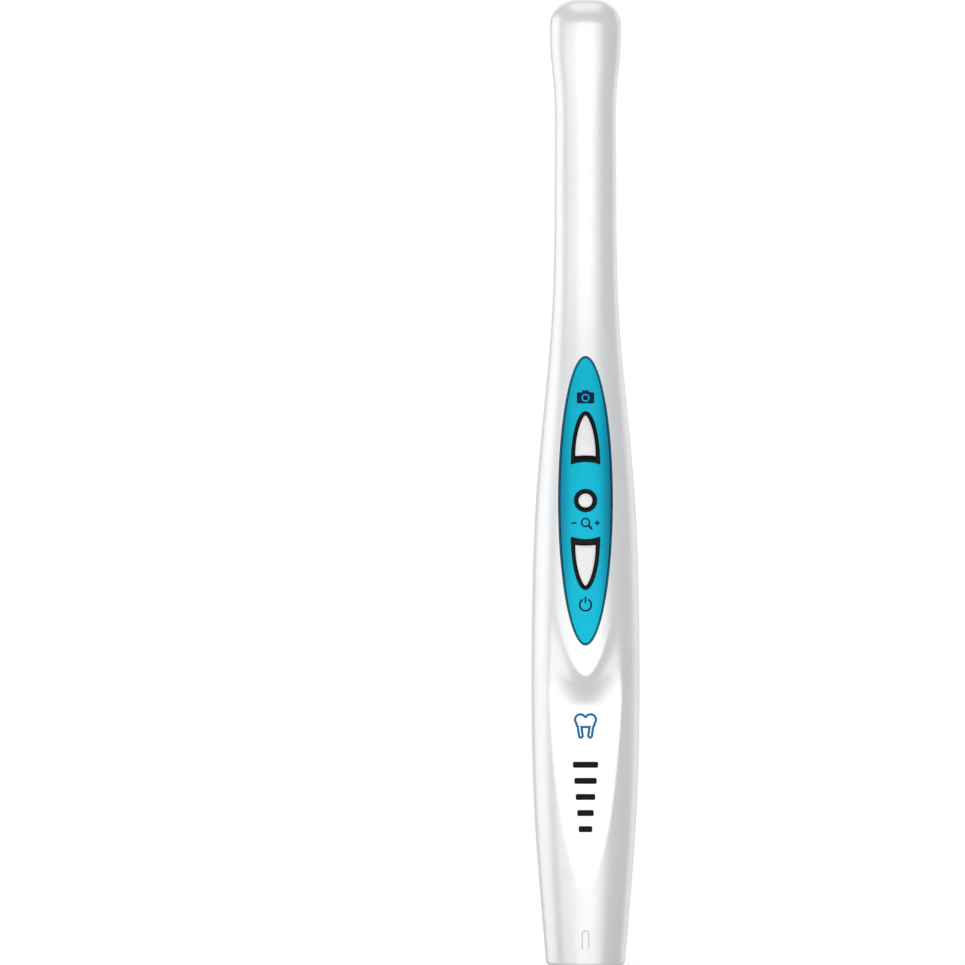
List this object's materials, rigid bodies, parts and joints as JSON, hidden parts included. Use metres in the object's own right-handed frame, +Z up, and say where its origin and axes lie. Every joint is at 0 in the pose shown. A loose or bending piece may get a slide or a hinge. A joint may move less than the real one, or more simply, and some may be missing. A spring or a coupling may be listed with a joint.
{
  "type": "intraoral camera",
  "caption": "Slim handheld dental camera: a wand with a windowed lens and lamp ring at its tip, a key panel on its handle and a cable socket in its base.",
  "frame": {"origin": "centre of the cable socket's mouth, in the plane of the flat base", "axes": "+Z up the wand from the base to the tip; +Y is the way the lens looks; the key panel faces -Y; +X is to the right when the panel is seen with the tip up"},
  "size_m": [0.0224, 0.0208, 0.1999],
  "materials": {
    "casing": "pearl white, satin gloss",
    "base_plastic": "satin grey",
    "socket_metal": "nickel plated",
    "insulator": "satin black",
    "contact_metal": "gold plated",
    "lead_jacket": "matte insulation",
    "panel_film": "metallic teal, gloss",
    "bezel": "gloss black",
    "key_cap": "white, satin gloss",
    "plate": "white, gloss",
    "window_glass": "clear, polished",
    "lens_glass": "coated, polished",
    "seal": "matte",
    "bracket": "anodised",
    "lamp_board": "black solder mask",
    "lamp_case": "white, satin",
    "phosphor": "yellow phosphor",
    "lens_black": "satin black",
    "sensor": "polished silicon",
    "circuit_board": "green solder mask",
    "chip": "moulded black",
    "ribbon": "amber film",
    "switch_housing": "moulded black",
    "plunger": "moulded ivory",
    "screw_steel": "zinc plated"
  },
  "bodies": {
    "wand": {"lens_side_shell": "casing", "key_side_shell": "casing", "base_cap": "base_plastic", "cable_socket": "socket_metal", "socket_nut": "socket_metal", "socket_insulator": "insulator", "board_header": "insulator", "socket_contacts": "contact_metal", "lamp_leads": "contact_metal", "socket_leads": "lead_jacket", "control_panel": "panel_film", "capture_bezel": "bezel", "zoom_bezel": "bezel", "power_bezel": "bezel", "name_plate": "plate", "window": "window_glass", "front_lens": "lens_glass", "rear_lens": "lens_glass", "ir_filter": "lens_glass", "window_seal": "seal", "lens_bracket": "bracket", "lamp_board": "lamp_board", "lamp_frames": "lamp_case", "lamp_phosphors": "phosphor", "lens_barrel": "lens_black", "lens_holder": "lens_black", "image_sensor": "sensor", "main_board": "circuit_board", "sensor_board": "circuit_board", "image_processor": "chip", "memory_chip": "chip", "usb_bridge": "chip", "board_parts": "chip", "ribbon_connector": "chip", "ribbon_cable": "ribbon", "capture_switch": "switch_housing", "zoom_switch": "switch_housing", "power_switch": "switch_housing", "snap_switch": "switch_housing", "lower_case_screw": "screw_steel", "upper_case_screw": "screw_steel"},
    "capture": {"capture_key": "key_cap", "capture_plunger": "plunger"},
    "zoom": {"zoom_key": "key_cap", "zoom_plunger": "plunger"},
    "power": {"power_key": "key_cap", "power_plunger": "plunger"},
    "snap": {"snap_button": "key_cap", "snap_plunger": "plunger"}
  },
  "joints": [
    {"name": "capture_press", "type": "slide", "parent": "wand", "child": "capture", "axis": [0, 1, 0], "range_m": [0, 0.0005], "stiffness_N_per_m": 800},
    {"name": "zoom_press", "type": "slide", "parent": "wand", "child": "zoom", "axis": [0, 1, 0], "range_m": [0, 0.0005], "stiffness_N_per_m": 800},
    {"name": "power_press", "type": "slide", "parent": "wand", "child": "power", "axis": [0, 1, 0], "range_m": [0, 0.0005], "stiffness_N_per_m": 800},
    {"name": "snap_press", "type": "slide", "parent": "wand", "child": "snap", "axis": [0, -1, 0], "range_m": [0, 0.0005], "stiffness_N_per_m": 800}
  ]
}
